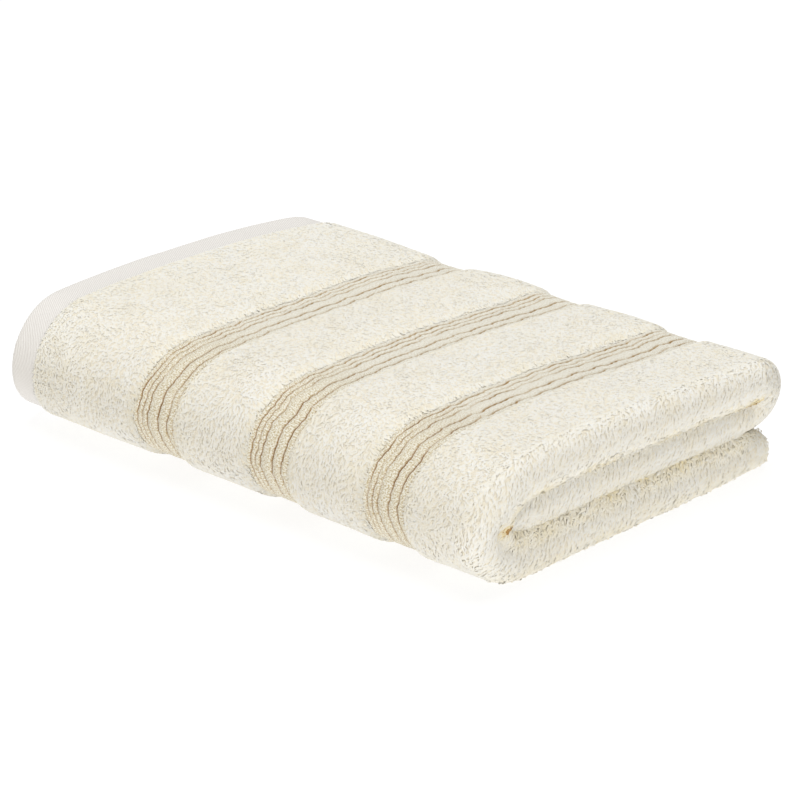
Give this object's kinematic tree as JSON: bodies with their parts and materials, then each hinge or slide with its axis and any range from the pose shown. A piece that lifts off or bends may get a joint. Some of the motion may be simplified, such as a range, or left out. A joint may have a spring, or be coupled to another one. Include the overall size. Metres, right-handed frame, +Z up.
{
  "type": "folded hand towel",
  "caption": "Terry hand towel folded into a compact stack, with ribbed woven borders across it and a plain woven hem at one end.",
  "frame": {"origin": "middle of the footprint, on the surface that the folded towel rests on", "axes": "+X along the long sides to the folded end, the hem that shows is at -X; +Y across the stack to the side where the upper two panels join; +Z up"},
  "size_m": [0.2538, 0.179, 0.0518],
  "materials": {
    "terry": "matte cream terry pile with beige ribbed borders"
  },
  "bodies": {
    "root": {"towel": "terry"}
  },
  "joints": []
}
